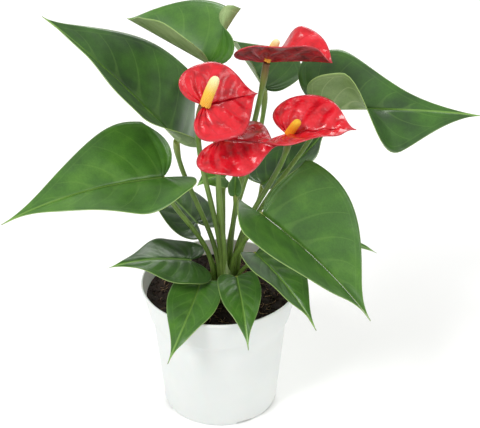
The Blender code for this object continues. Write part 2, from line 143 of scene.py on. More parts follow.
def veinMask(tree, strength):
    # how much this point is vein: laterals, midrib and the vein that follows the margin
    phase = addNode(tree, "ShaderNodeAttribute", attribute_name="veinPhase")
    gap = addNode(tree, "ShaderNodeAttribute", attribute_name="veinGap")
    edge = addNode(tree, "ShaderNodeAttribute", attribute_name="edgeMm")
    across = addNode(tree, "ShaderNodeAttribute", attribute_name="midribMm")
    near = addNode(tree, "ShaderNodeMath", {0: phase.outputs["Fac"], 1: 0.5}, operation="PINGPONG")
    away = addNode(tree, "ShaderNodeMath", {0: near.outputs[0], 1: gap.outputs["Fac"]},
        operation="MULTIPLY")
    lateral = addNode(tree, "ShaderNodeMapRange", {
        0: away.outputs[0], 1: 0.5 * leafLooks["veinMm"], 2: 1.6 * leafLooks["veinMm"],
        3: 0.75 * strength, 4: 0.0},
        interpolation_type="SMOOTHSTEP")
    inside = addNode(tree, "ShaderNodeMapRange", {
        0: edge.outputs["Fac"], 1: leafLooks["edgeVeinMm"] - 1, 2: leafLooks["edgeVeinMm"] + 1, 3: 0.0, 4: 1.0})
    kept = addNode(tree, "ShaderNodeMath", {0: lateral.outputs[0], 1: inside.outputs[0]},
        operation="MULTIPLY")
    off = addNode(tree, "ShaderNodeMath", {0: edge.outputs["Fac"], 1: leafLooks["edgeVeinMm"]},
        operation="SUBTRACT")
    offSize = addNode(tree, "ShaderNodeMath", {0: off.outputs[0]}, operation="ABSOLUTE")
    follow = addNode(tree, "ShaderNodeMapRange",
        {0: offSize.outputs[0], 1: 0.15, 2: 0.5, 3: 0.5 * strength, 4: 0.0})
    rib = addNode(tree, "ShaderNodeMapRange", {
        0: across.outputs["Fac"], 1: 0.5 * leafLooks["midribMm"], 2: 1.5 * leafLooks["midribMm"],
        3: 0.95, 4: 0.0},
        interpolation_type="SMOOTHSTEP")
    first = addNode(tree, "ShaderNodeMath", {0: kept.outputs[0], 1: follow.outputs[0]}, operation="MAXIMUM")
    return calculated(tree, "MAXIMUM", first.outputs[0], rib.outputs[0])


def leafMaterial(name, dark, mid, light, vein, roughness, coat, veinStrength, marginColour):
    material, tree, shader = startMaterial(
        name, Roughness=roughness, IOR=1.45, Coat_Weight=coat, Coat_Roughness=0.28)
    place = addNode(tree, "ShaderNodeTexCoord").outputs["Object"]
    patches = addNode(tree, "ShaderNodeTexNoise", {
        "Vector": place, "Scale": 1 / (leafLooks["patchMm"] * mm), "Detail": 3.0, "Roughness": 0.55})
    cells = addNode(tree, "ShaderNodeTexVoronoi",
        {"Vector": place, "Scale": 1 / (leafLooks["cellMm"] * mm)})
    # painted shade: the per-leaf darkening value, added to the patch noise, darkens the whole leaf
    age = addNode(tree, "ShaderNodeAttribute", attribute_name="age")
    edge = addNode(tree, "ShaderNodeAttribute", attribute_name="edgeMm")
    tone = addNode(tree, "ShaderNodeMath", {0: patches.outputs["Fac"], 1: age.outputs["Fac"]},
        operation="ADD")
    ramp = addNode(tree, "ShaderNodeMapRange", {0: tone.outputs[0], 1: 0.35, 2: 1.15, 3: 0.0, 4: 1.0})
    shades = addNode(tree, "ShaderNodeValToRGB", {"Fac": ramp.outputs[0]})
    stops = shades.color_ramp.elements
    stops[0].color, stops[1].color = hexColour(light), hexColour(dark)
    middle = stops.new(0.45)
    middle.color = hexColour(mid)
    grain = addNode(tree, "ShaderNodeMapRange",
        {0: cells.outputs["Distance"], 1: 0.0, 2: 0.9, 3: 1.08, 4: 0.9})
    speckled = addNode(tree, "ShaderNodeVectorMath", {
        0: shades.outputs["Color"], 3: grain.outputs[0]}, operation="SCALE")
    veins = veinMask(tree, veinStrength)
    veined = addNode(tree, "ShaderNodeMix", {
        0: veins, 6: speckled.outputs[0], 7: hexColour(vein)}, data_type="RGBA")
    rim = addNode(tree, "ShaderNodeMapRange", {0: edge.outputs["Fac"], 1: 0.15, 2: 0.6, 3: 0.5, 4: 0.0})
    edged = addNode(tree, "ShaderNodeMix", {
        0: rim.outputs[0], 6: veined.outputs[2], 7: hexColour(marginColour)}, data_type="RGBA")
    tree.links.new(edged.outputs[2], shader.inputs["Base Color"])
    gloss = addNode(tree, "ShaderNodeMapRange", {
        0: patches.outputs["Fac"], 1: 0.3, 2: 0.7, 3: roughness - 0.05, 4: roughness + 0.08})
    tree.links.new(gloss.outputs[0], shader.inputs["Roughness"])
    bumpy = addNode(tree, "ShaderNodeBump",
        {"Height": cells.outputs["Distance"], "Strength": 0.12, "Distance": 0.0003})
    raised = addNode(tree, "ShaderNodeBump", {
        "Height": veins, "Strength": 0.35, "Distance": 0.0005, "Normal": bumpy.outputs[0]}, invert=True)
    tree.links.new(raised.outputs[0], shader.inputs["Normal"])
    return material


leafTop = leafMaterial(
    "waxyLeafUpper", leafLooks["deep"], leafLooks["green"], leafLooks["fresh"], leafLooks["vein"],
    0.36, 0.25, 0.2, leafLooks["margin"])
leafUnder = leafMaterial(
    "matteLeafUnderside", leafLooks["underDeep"], leafLooks["under"], leafLooks["underVein"],
    leafLooks["underVein"], 0.6, 0.0, 0.8, leafLooks["margin"])
leafEdge, edgeTree, edgeShader = startMaterial(
    "leafMarginTissue", Base_Color=hexColour(leafLooks["margin"]), Roughness=0.5, IOR=1.45)
edgeNoise = addNode(edgeTree, "ShaderNodeTexNoise", {
    "Vector": addNode(edgeTree, "ShaderNodeTexCoord").outputs["Object"], "Scale": 250.0})
edgeMix = addNode(edgeTree, "ShaderNodeMix", {
    0: edgeNoise.outputs["Fac"], 6: hexColour("#9db56c"), 7: hexColour(leafLooks["margin"])}, data_type="RGBA")
edgeTree.links.new(edgeMix.outputs[2], edgeShader.inputs["Base Color"])

# Anthurium spathe: a thick waxy bract, blistered between its veins, lacquer bright.
# the pink spathe colour is a painted sheen, laid on the blister crowns
spatheLooks = {
    "red": "#d80d20", "deep": "#b00a1a", "pink": "#dd2434", "vein": "#b40c1e", "margin": "#b83844",
    "under": "#8c1420", "underDeep": "#5c1018", "blisterMm": 7.0, "poreMm": 1.0,
}


def spatheMaterial(name, deep, red, pink, roughness, coat):
    material, tree, shader = startMaterial(
        name, Roughness=roughness, IOR=1.48, Coat_Weight=coat, Coat_Roughness=0.12,
        Subsurface_Weight=0.06, Subsurface_Scale=0.002)
    place = addNode(tree, "ShaderNodeTexCoord").outputs["Object"]
    blister = addNode(tree, "ShaderNodeTexNoise", {
        "Vector": place, "Scale": 1 / (spatheLooks["blisterMm"] * mm), "Detail": 2.0})
    pores = addNode(tree, "ShaderNodeTexNoise",
        {"Vector": place, "Scale": 1 / (spatheLooks["poreMm"] * mm)})
    edge = addNode(tree, "ShaderNodeAttribute", attribute_name="edgeMm")
    # painted light: the colour follows the blister relief, deep red in the hollows and a pink painted sheen on
    # the crowns
    ramp = addNode(tree, "ShaderNodeValToRGB", {"Fac": blister.outputs["Fac"]})
    ramp.color_ramp.elements[0].position, ramp.color_ramp.elements[1].position = 0.3, 0.75
    ramp.color_ramp.elements[0].color, ramp.color_ramp.elements[1].color = hexColour(deep), hexColour(pink)
    middle = ramp.color_ramp.elements.new(0.52)
    middle.color = hexColour(red)
    rim = addNode(tree, "ShaderNodeMapRange", {0: edge.outputs["Fac"], 1: 0.4, 2: 2.2, 3: 0.55, 4: 0.0})
    edged = addNode(tree, "ShaderNodeMix", {
        0: rim.outputs[0], 6: ramp.outputs["Color"], 7: hexColour(spatheLooks["margin"])}, data_type="RGBA")
    veins = veinMask(tree, 0.5)
    veined = addNode(tree, "ShaderNodeMix", {
        0: veins, 6: edged.outputs[2], 7: hexColour(spatheLooks["vein"])}, data_type="RGBA")
    tree.links.new(veined.outputs[2], shader.inputs["Base Color"])
    bumpy = addNode(tree, "ShaderNodeBump",
        {"Height": pores.outputs["Fac"], "Strength": 0.12, "Distance": 0.0004})
    swollen = addNode(tree, "ShaderNodeBump", {
        "Height": blister.outputs["Fac"], "Strength": 0.75, "Distance": 0.0022, "Normal": bumpy.outputs[0]})
    tree.links.new(swollen.outputs[0], shader.inputs["Normal"])
    return material


spatheFront = spatheMaterial(
    "waxySpatheFront", spatheLooks["deep"], spatheLooks["red"], spatheLooks["pink"], 0.3, 0.45)
# on the back the deep red is the painted sheen on the blister crowns
spatheBack = spatheMaterial(
    "spatheBack", spatheLooks["underDeep"], spatheLooks["under"], spatheLooks["deep"], 0.45, 0.1)

# Leaf and flower stalks: smooth green tissue with fine lengthwise striations, browner
# towards the knee where the stalk meets the blade.
stalkLooks = {"foot": "#7f9a4a", "body": "#6d8a3b", "knee": "#8c9a48", "brown": "#6b4a2c", "stripeMm": 0.9}


def stalkMaterial(name, foot, body, knee, roughness):
    material, tree, shader = startMaterial(name, Roughness=roughness, IOR=1.45, Coat_Weight=0.1,
        Coat_Roughness=0.3)
    along = addNode(tree, "ShaderNodeAttribute", attribute_name="alongStalk")
    place = addNode(tree, "ShaderNodeTexCoord").outputs["Object"]
    stretched = addNode(tree, "ShaderNodeMapping", {"Vector": place, "Scale": (1.0, 1.0, 0.06)})
    stripes = addNode(tree, "ShaderNodeTexNoise", {
        "Vector": stretched.outputs[0], "Scale": 1 / (stalkLooks["stripeMm"] * mm), "Detail": 2.0})
    blotch = addNode(tree, "ShaderNodeTexNoise", {"Vector": place, "Scale": 70.0, "Detail": 2.0})
    ramp = addNode(tree, "ShaderNodeValToRGB", {"Fac": along.outputs["Fac"]})
    stops = ramp.color_ramp.elements
    stops[0].color, stops[1].color = hexColour(foot), hexColour(knee)
    for position, code in ((0.35, body), (0.88, body)):
        stop = stops.new(position)
        stop.color = hexColour(code)
    tone = addNode(tree, "ShaderNodeMath", {
        0: stripes.outputs["Fac"], 1: blotch.outputs["Fac"]}, operation="ADD")
    shade = addNode(tree, "ShaderNodeMapRange", {0: tone.outputs[0], 1: 0.6, 2: 1.4, 3: 0.72, 4: 1.25})
    striped = addNode(tree, "ShaderNodeVectorMath", {
        0: ramp.outputs["Color"], 3: shade.outputs[0]}, operation="SCALE")
    tree.links.new(striped.outputs[0], shader.inputs["Base Color"])
    bump = addNode(tree, "ShaderNodeBump",
        {"Height": stripes.outputs["Fac"], "Strength": 0.3, "Distance": 0.0004})
    tree.links.new(bump.outputs[0], shader.inputs["Normal"])
    return material


petioleSkin = stalkMaterial("leafStalkSkin", stalkLooks["foot"], stalkLooks["body"], stalkLooks["knee"],
    0.42)
peduncleSkin = stalkMaterial("flowerStalkSkin", stalkLooks["foot"], stalkLooks["body"],
    stalkLooks["brown"], 0.42)

# Spadix: hundreds of tiny packed florets, matte, deep yellow at the foot, cream at the tip.
spadixLooks = {"foot": "#eaa614", "middle": "#f0c43a", "tip": "#f6ebb8", "orange": "#ee9a12"}


def spadixMaterial(name, foot, middle, tip):
    material, tree, shader = startMaterial(
        name, Roughness=0.55, IOR=1.4, Subsurface_Weight=0.1, Subsurface_Scale=0.001)
    along = addNode(tree, "ShaderNodeAttribute", attribute_name="alongSpadix")
    place = addNode(tree, "ShaderNodeTexCoord").outputs["Object"]
    pollen = addNode(tree, "ShaderNodeTexNoise", {"Vector": place, "Scale": 900.0})
    ramp = addNode(tree, "ShaderNodeValToRGB", {"Fac": along.outputs["Fac"]})
    stops = ramp.color_ramp.elements
    stops[0].color, stops[1].color = hexColour(foot), hexColour(tip)
    stop = stops.new(0.5)
    stop.color = hexColour(middle)
    dusty = addNode(tree, "ShaderNodeMix", {
        0: pollen.outputs["Fac"], 6: ramp.outputs["Color"], 7: hexColour(tip)}, data_type="RGBA")
    half = addNode(tree, "ShaderNodeMix", {
        0: 0.2, 6: ramp.outputs["Color"], 7: dusty.outputs[2]}, data_type="RGBA")
    tree.links.new(half.outputs[2], shader.inputs["Base Color"])
    return material


spadixCream = spadixMaterial("pollenSpadixCream", spadixLooks["foot"], spadixLooks["middle"],
    spadixLooks["tip"])
spadixOrange = spadixMaterial("pollenSpadixOrange", spadixLooks["orange"], spadixLooks["orange"],
    spadixLooks["middle"])

# Injection-moulded polypropylene nursery pot: matte white, a trace of grain from the mould.
potWhite, potTree, potShader = startMaterial(
    "mouldedPolypropyleneWhite", Base_Color=hexColour("#dde0de"), Roughness=0.42, IOR=1.49,
    Subsurface_Weight=0.08, Subsurface_Scale=0.003)
potPlace = addNode(potTree, "ShaderNodeTexCoord").outputs["Object"]
potHaze = addNode(potTree, "ShaderNodeTexNoise", {"Vector": potPlace, "Scale": 28.0, "Detail": 4.0})
potGrain = addNode(potTree, "ShaderNodeTexNoise", {"Vector": potPlace, "Scale": 1100.0})
potMix = addNode(potTree, "ShaderNodeMix", {
    0: potHaze.outputs["Fac"], 6: hexColour("#d6dad8"), 7: hexColour("#e4e6e4")}, data_type="RGBA")
potTree.links.new(potMix.outputs[2], potShader.inputs["Base Color"])
potRough = addNode(potTree, "ShaderNodeMapRange", {0: potHaze.outputs["Fac"], 3: 0.36, 4: 0.5})
potTree.links.new(potRough.outputs[0], potShader.inputs["Roughness"])
potBump = addNode(potTree, "ShaderNodeBump",
    {"Height": potGrain.outputs["Fac"], "Strength": 0.06, "Distance": 0.0003})
potTree.links.new(potBump.outputs[0], potShader.inputs["Normal"])


# Damp peat with rootlets: near black, crumbly, no shine except on wet grains.
def peatMaterial(name, dark, light, roughness, scale):
    material, tree, shader = startMaterial(name, Roughness=roughness, IOR=1.4)
    place = addNode(tree, "ShaderNodeTexCoord").outputs["Object"]
    lumps = addNode(tree, "ShaderNodeTexNoise",
        {"Vector": place, "Scale": scale, "Detail": 6.0, "Roughness": 0.7})
    ramp = addNode(tree, "ShaderNodeValToRGB", {"Fac": lumps.outputs["Fac"]})
    ramp.color_ramp.elements[0].position, ramp.color_ramp.elements[1].position = 0.35, 0.72
    ramp.color_ramp.elements[0].color, ramp.color_ramp.elements[1].color = hexColour(dark), hexColour(light)
    tree.links.new(ramp.outputs["Color"], shader.inputs["Base Color"])
    bump = addNode(tree, "ShaderNodeBump",
        {"Height": lumps.outputs["Fac"], "Strength": 0.7, "Distance": 0.001})
    tree.links.new(bump.outputs[0], shader.inputs["Normal"])
    return material


peatDark = peatMaterial("dampPeat", "#120c09", "#3b2a20", 0.9, 260.0)
peatFibre = peatMaterial("driedRootFibre", "#6b4c34", "#b08f6c", 0.8, 200.0)
huskBrown = peatMaterial("driedHusk", "#3a2617", "#8a6a48", 0.75, 160.0)
crownSkin = peatMaterial("crownStemSkin", "#2c2a16", "#6f7a3a", 0.6, 120.0)
print("materials ready")


# Blades: leaves, spathes and sheaths share one way of making

plainBlade = {
    "droop": 0, "droopPower": 1.3, "sweep": 0, "roll": 0,
    "lobe": (0.2, 0.2), "widest": 0.18, "notch": 0.1, "shoulder": (0.45, 0.45), "taper": (0.3, 0.3),
    "fold": (0, 0), "cup": (0, 0), "flip": (0, 0), "flipSpan": (-0.05, 0.3), "lift": 0,
    "age": 0.25, "wave": 0.8, "waves": 3.0, "quilt": 0.35, "veins": 9, "thick": 0.5, "grid": (24, 36, 14),
}

# each leaf's darkening value is painted shade: how much darker the whole leaf is drawn
leaves = {
    "upper_left": {
        "age": 0.42, "grid": (28, 44, 18),
        "at": (-30.5, 19, 216), "heading": 160, "rise": 44, "droop": 9, "sweep": 5, "roll": -24,
        "length": 133, "width": 102, "lobe": (0.1, 0.1), "widest": 0.17, "notch": 0.2,
        "shoulder": (0.44, 0.62), "taper": (0.32, 0.2), "fold": (48, 0), "cup": (5, 0),
        "flip": (25, -42), "flipSpan": (-0.1, 0.25), "lift": 20,
        "stalk": 2.1, "root": (1, 180),
    },
    "left": {
        "age": 0.22, "grid": (28, 44, 18),
        "at": (-40, -20, 207), "heading": 207, "rise": 8, "droop": 25, "roll": -30,
        "length": 122, "width": 100, "lobe": (0.14, 0.2), "widest": 0.08, "notch": 0.2,
        "shoulder": (0.3, 0.3), "taper": (0.35, 0.35), "fold": (28, 5), "cup": (0, -10),
        "flip": (20, 0), "lift": 75,
        "stalk": 2.1, "root": (2, 180),
    },
    "top": {
        "age": 0.15, "grid": (28, 40, 18),
        "at": (-7, 15, 280), "heading": 146, "rise": 14, "roll": -8,
        "length": 74, "width": 94, "lobe": (0.06, 0.6), "notch": 0.12, "shoulder": (0.6, 0.6),
        "taper": (0.15, 0.15),
        "fold": (54, 42), "cup": (0, -40), "flip": (0, 35), "flipSpan": (-0.2, 0.2), "lift": 45,
        "stalk": 2.1, "root": (2, 120),
    },
    "back_centre": {
        "age": 0.35,
        "at": (33.5, 64, 237), "heading": 120, "rise": 26, "droop": 10, "roll": -15,
        "length": 58, "width": 70, "lobe": (0.2, 0.2), "fold": (75, 5), "lift": 30,
        "stalk": 2.0, "root": (2, 90),
    },
    "upper_right": {
        "age": 0.42, "grid": (28, 44, 18),
        "at": (78, 38, 232), "heading": -5, "rise": 5, "droop": 10, "droopPower": 1.0, "roll": 45,
        "length": 118, "width": 96, "lobe": (0.2, 0.12), "widest": 0.08, "notch": 0.2,
        "shoulder": (0.16, 0.5), "taper": (0.6, 0.3),
        "fold": (-2, 8), "flip": (0, 95), "flipSpan": (0.12, 0.5),
        "lift": 20, "stalk": 2.1, "root": (2, 30),
    },
    "right": {
        "age": 0.2, "grid": (30, 46, 20),
        "at": (32, -30, 182), "heading": -24, "rise": -30, "droop": 20, "roll": 40,
        "length": 110, "width": 108, "lobe": (0.12, 0.28), "widest": 0.14, "notch": 0.25,
        "shoulder": (0.5, 0.5), "fold": (5, 58), "lift": 60,
        "stalk": 2.1, "root": (1, 300),
    },
    "back_right": {
        "age": 0.55,
        "at": (33, 50, 162), "heading": 25, "rise": 20, "droop": -10, "sweep": 30, "roll": 20,
        "length": 75, "width": 50, "lobe": (0.12, 0.05), "notch": 0.25, "fold": (0, 38), "lift": 50,
        "stalk": 1.7, "root": (2, 60),
    },
    "back_left": {
        "age": 0.55,
        "at": (-18, 20, 146), "heading": 145, "rise": 35, "droop": 20,
        "length": 62, "width": 46, "lobe": (0.2, 0.2), "lift": 20,
        "stalk": 1.7, "root": (2, 150),
    },
    "low_left": {
        "age": 0.4,
        "at": (-22.5, -12, 132), "heading": 205, "rise": 20, "droop": 25, "roll": -20,
        "length": 66, "width": 49, "lobe": (0.22, 0.28), "notch": 0.2, "shoulder": (0.3, 0.3),
        "taper": (0.35, 0.35),
        "fold": (0, -10), "stalk": 1.7, "root": (2, 210),
    },
    "front_left": {
        "age": 0.3, "grid": (20, 36, 14),
        "at": (-14, -22, 118), "heading": 257, "rise": -12, "droop": 30, "sweep": -18,
        "length": 72, "width": 40, "lobe": (0.04, 0.04), "widest": 0.2, "notch": 0.3, "fold": (8, 8),
        "stalk": 1.6, "root": (2, 240),
    },
    "front_centre": {
        "age": 0.32, "grid": (20, 36, 14),
        "at": (13, -22, 123), "heading": 279, "rise": -10, "droop": 42, "droopPower": 1.6,
        "length": 63, "width": 32, "lobe": (0.04, 0.04), "widest": 0.2, "notch": 0.3, "fold": (10, 10),
        "stalk": 1.5, "root": (2, 300),
    },
    "low_right": {
        "age": 0.38,
        "at": (27, -14, 139), "heading": -52, "rise": -10, "droop": 30, "roll": 15,
        "length": 78, "width": 48, "lobe": (0.03, 0.0), "notch": 0.25, "fold": (0, 42),
        "stalk": 1.7, "root": (2, 330),
    },
    "low_back": {
        "age": 0.3,
        "at": (62, 10, 137), "heading": 5, "rise": 0, "droop": 35,
        "length": 62, "width": 34, "lobe": (0.28, 0.28), "stalk": 1.6, "root": (2, 0),
    },
    "young": {
        "age": 0.1, "veins": 5, "wave": 0.3, "grid": (12, 16, 8),
        "at": (3.5, 1, 195), "heading": 205, "rise": 25, "droop": 75, "roll": -10,
        "length": 24, "width": 20, "lobe": (0.15, 0.15), "fold": (-15, 15),
        "stalk": 2.1, "root": (1, 120),
    },
    "bud": {
        "age": 0.2, "veins": 4, "wave": 0.2, "grid": (12, 16, 8),
        "at": (12, -8, 186), "heading": 85, "rise": 80, "droop": -10,
        "length": 20, "width": 12, "lobe": (0.05, 0.05), "widest": 0.3, "fold": (30, 30),
        "stalk": 1.6, "root": (0, 0),
    },
}

flowers = {
    "left": {
        "at": (-9, -28, 268), "heading": 28, "rise": 0, "roll": 55,
        "length": 42, "width": 58, "lobe": (0.34, 0.34), "widest": 0.25, "notch": 0.2,
        "shoulder": (0.6, 0.6), "taper": (0.2, 0.2), "fold": (0, 18),
        "stalk": 2.2, "root": (1, 240), "spadix": (7.4, 0, 19.7), "spadixRadius": 3.6,
    },
    "top": {
        "at": (34.5, 20, 279), "heading": -5, "rise": 6, "droop": 10, "roll": -5,
        "length": 47, "width": 56, "lobe": (0.45, 0.45), "widest": 0.35, "notch": 0.2,
        "shoulder": (0.95, 0.8), "taper": (0.06, 0.12), "fold": (45, 42),
        "flip": (-52, 0), "flipSpan": (0.1, 0.55),
        "stalk": 2.2, "root": (1, 60), "spadix": (7, -2, 15), "spadixRadius": 3.0,
    },
    "right": {
        "at": (50, -18, 240), "heading": -10, "rise": 15, "droop": 10, "roll": 35,
        "length": 48, "width": 60, "lobe": (0.25, 0.25), "widest": 0.3, "notch": 0.25,
        "shoulder": (0.7, 0.7), "taper": (0.2, 0.2), "fold": (0, 50),
        "stalk": 2.2, "root": (1, 0), "spadix": (6, -5, 12), "spadixRadius": 3.0,
    },
    "low": {
        "at": (2, -20, 237), "heading": -10, "rise": 4, "droop": 10, "roll": 6,
        "length": 42, "width": 60, "lobe": (0.36, 0.36), "widest": 0.3, "notch": 0.2,
        "shoulder": (0.7, 0.7), "taper": (0.2, 0.2), "fold": (-5, -22),
        "stalk": 2.1, "root": (2, 270), "spadix": (3, 5, 12), "spadixRadius": 2.9,
    },
}

sheaths = {
    "sheath_front": {
        "at": (6.5, -13.8, 107), "heading": -100, "rise": 82, "droop": 10,
        "length": 30, "width": 7, "lobe": (0, 0), "widest": 0.3, "fold": (25, 25),
    },
    "sheath_dry": {
        "at": (18.2, -3.4, 107.2), "heading": -8, "rise": 82, "droop": 8,
        "length": 20, "width": 5.4, "lobe": (0, 0), "widest": 0.35, "fold": (8, 8),
    },
}


def fullBlade(entry):
    return {**plainBlade, **entry}


def cubicPoints(a, b, c, d, count):
    t = np.linspace(0, 1, count, endpoint=False)[:, None]
    a, b, c, d = (np.array(p, float) for p in (a, b, c, d))
    return (1 - t) ** 3 * a + 3 * t * (1 - t) ** 2 * b + 3 * t * t * (1 - t) * c + t ** 3 * d


def halfOutline(blade, side, basal, apical):
    # (along, across) points of one half, from the stalk round the lobe to the tip
    length, half = blade["length"], blade["width"] / 2
    widest = blade["widest"] * length
    back = (blade["lobe"][side] * length + 0.09 * widest) / 0.74
    lobe = cubicPoints((0, 0), (-back, blade["notch"] * blade["width"]), (-back, half), (widest, half),
        basal)
    shoulder = widest + blade["shoulder"][side] * (length - widest)
    flank = cubicPoints((widest, half), (shoulder, half),
                        (length * (1 - blade["taper"][side]), 0.04 * half), (length, 0), apical)
    return np.vstack([lobe, flank, [(length, 0)]])


def bladeFrames(blade, steps=48, behindSteps=16):
    # points and directions along the midrib, from behind the stalk to the tip
    length = blade["length"]
    along = np.concatenate([np.linspace(-0.6 * length, 0, behindSteps + 1)[:-1],
                            np.linspace(0, length, steps + 1)])
    share = np.clip(along / length, 0, 1)
    behind = np.clip(-along / (0.3 * length), 0, None)
    rise = np.radians(blade["rise"] - blade["droop"] * share ** blade["droopPower"] - blade["lift"] * behind)
    heading = np.radians(blade["heading"] + blade["sweep"] * share ** 1.2)
    forward = np.stack([np.cos(rise) * np.cos(heading), np.cos(rise) * np.sin(heading), np.sin(rise)], -1)
    level = np.stack([-np.sin(heading), np.cos(heading), 0 * heading], -1)
    upward = np.cross(forward, level)
    roll = math.radians(blade["roll"])
    left = level * math.cos(roll) + upward * math.sin(roll)
    face = upward * math.cos(roll) - level * math.sin(roll)
    walked = np.vstack([np.zeros(3), np.cumsum((forward[1:] + forward[:-1]) / 2 * np.diff(along)[:, None],
        axis=0)])
    spine = walked - walked[behindSteps] + np.array(blade["at"], float)
    return along, spine, forward, left, face


def bladeBase(entry):
    _, spine, forward, _, face = bladeFrames(fullBlade(entry))
    return spine[16], forward[16], face[16]


def bendBlade(blade, flat, raised, side):
    # places flat (along, across) points, lifted off the sheet by raised, in space
    along, spine, _, left, face = bladeFrames(blade)
    a, b = flat[:, 0], flat[:, 1]
    at, left, face = (np.stack([np.interp(a, along, axis[:, i]) for i in range(3)], -1)
                      for axis in (spine, left, face))
    start, end = blade["flipSpan"]
    ease = np.clip(1 - (a / blade["length"] - start) / (end - start), 0, 1)
    ease = ease * ease * (3 - 2 * ease)
    fold = np.radians(blade["fold"][side] + blade["flip"][side] * ease)
    curve = math.radians(blade["cup"][side] or 0.001) / (blade["width"] / 2)
    out = (np.sin(fold + curve * b) - np.sin(fold)) / curve - raised * np.sin(fold + curve * b)
    up = (np.cos(fold) - np.cos(fold + curve * b)) / curve + raised * np.cos(fold + curve * b)
    return at + left * (out * (1 - 2 * side))[:, None] + face * up[:, None]


def bladeObject(name, entry, materials, seed):
    # rays run from the midrib to the margin on each half, and veins lie along the rays
    blade = fullBlade(entry)
    basal, apical, across = blade["grid"]
    length, half = blade["length"], blade["width"] / 2
    margins = [halfOutline(blade, side, basal, apical) for side in (0, 1)]
    middle = (margins[0] + margins[1]) / 2 * (1, 0)
    middle[:, 0] = length * np.clip(middle[:, 0] / length, 0, 1) ** 1.5
    points, faces, values = [], [], {"veinPhase": [], "veinGap": [], "edgeMm": [], "midribMm": []}
    shares = np.linspace(0, 1, across + 1) ** 0.9
    for side, margin in enumerate(margins):
        walked = np.concatenate([[0], np.cumsum(np.linalg.norm(np.diff(margin, axis=0), axis=1))])
        ray = walked / walked[-1] * blade["veins"]
        span = np.linalg.norm(margin - middle, axis=1)
        perVein = np.gradient(walked) / np.maximum(np.gradient(ray), 1e-6)
        base = len(points)
        for share in shares:
            flat = middle + (margin - middle) * share
            phase = ray - 0.9 * share ** 2 + 0.5
            edge = span * (1 - share) * 0.9
            rib = flat[:, 1]
            calm = np.clip(edge / 6, 0, 1) * np.clip(rib / 3, 0, 1)
            ripple = np.sin(2 * np.pi * (blade["waves"] * ray / blade["veins"] + 0.37 * seed + 0.5 * side))
            raised = blade["quilt"] * (0.5 - 0.5 * np.cos(2 * np.pi * phase)) * calm
            raised += blade["wave"] * share ** 3 * ripple * np.clip(span / (0.4 * half), 0, 1)
            raised -= 0.5 * np.exp(-(rib / 1.4) ** 2) * min(1, length / 80)
            points.extend(bendBlade(blade, flat, raised, side) * mm)
            values["veinPhase"].extend(phase)
            values["veinGap"].extend(np.maximum(perVein * share, 0.4))
            values["edgeMm"].extend(edge)
            values["midribMm"].extend(rib)
        rows = len(margin)
        for j in range(across):
            for i in range(rows - 1):
                quad = [base + j * rows + i, base + (j + 1) * rows + i,
                        base + (j + 1) * rows + i + 1, base + j * rows + i + 1]
                faces.append(quad if side else quad[::-1])
    obj = meshObject(name, points, faces, materials)
    mesh = obj.data
    # each leaf's painted shade, one value for every point
    values["age"] = [blade["age"]] * len(points)
    for key, numbers in values.items():
        mesh.attributes.new(key, "FLOAT", "POINT").data.foreach_set("value", np.array(numbers, np.float32))
    work = bmesh.new()
    work.from_mesh(mesh)
    bmesh.ops.remove_doubles(work, verts=work.verts, dist=0.02 * mm)
    bmesh.ops.dissolve_degenerate(work, edges=work.edges, dist=0.01 * mm)
    work.to_mesh(mesh)
    work.free()
    solid = obj.modifiers.new("Thickness", "SOLIDIFY")
    solid.thickness = blade["thick"] * mm
    solid.offset = 0
    solid.material_offset, solid.material_offset_rim = 1, 2
    return settle(obj)


def placePiece(obj, node):
    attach(obj, "root")
    if node:
        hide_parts(node)
    return obj


def camel(prefix, name):
    words = name.split("_")
    return prefix + "".join(word.capitalize() for word in words)


for seed, (name, entry) in enumerate(leaves.items()):
    leaf = bladeObject(camel("leaf", name), entry, [leafTop, leafUnder, leafEdge], seed)
    placePiece(leaf, "leaf_" + name)
print("leaves:", len(leaves))

spatheDefaults = {"quilt": 1.5, "veins": 7, "wave": 1.4, "waves": 2.5, "thick": 0.7, "grid": (26, 30, 16)}
for seed, (name, entry) in enumerate(flowers.items()):
    spathe = bladeObject(camel("spathe", name), {**spatheDefaults, **entry},
                         [spatheFront, spatheBack, spatheFront], seed + 20)
    placePiece(spathe, "spathe_" + name)
print("spathes:", len(flowers))


# Stalks: one Geometry Nodes tree sweeps a round, tapering skin along each path

crown = {"centre": (5.0, 0.0), "top": 106.2, "bottom": 94.0, "bottomRadius": 13.6, "topRadius": 12.4,
         "rings": (0.0, 4.8, 9.4)}
stalkLook = {"steps": 40, "sides": 16, "footSwell": 1.18, "kneeSwell": 1.22, "sunk": 6.0,
             "underFace": 0.9, "behindBlade": 0.8, "rise": 0.4, "arrive": 0.3}


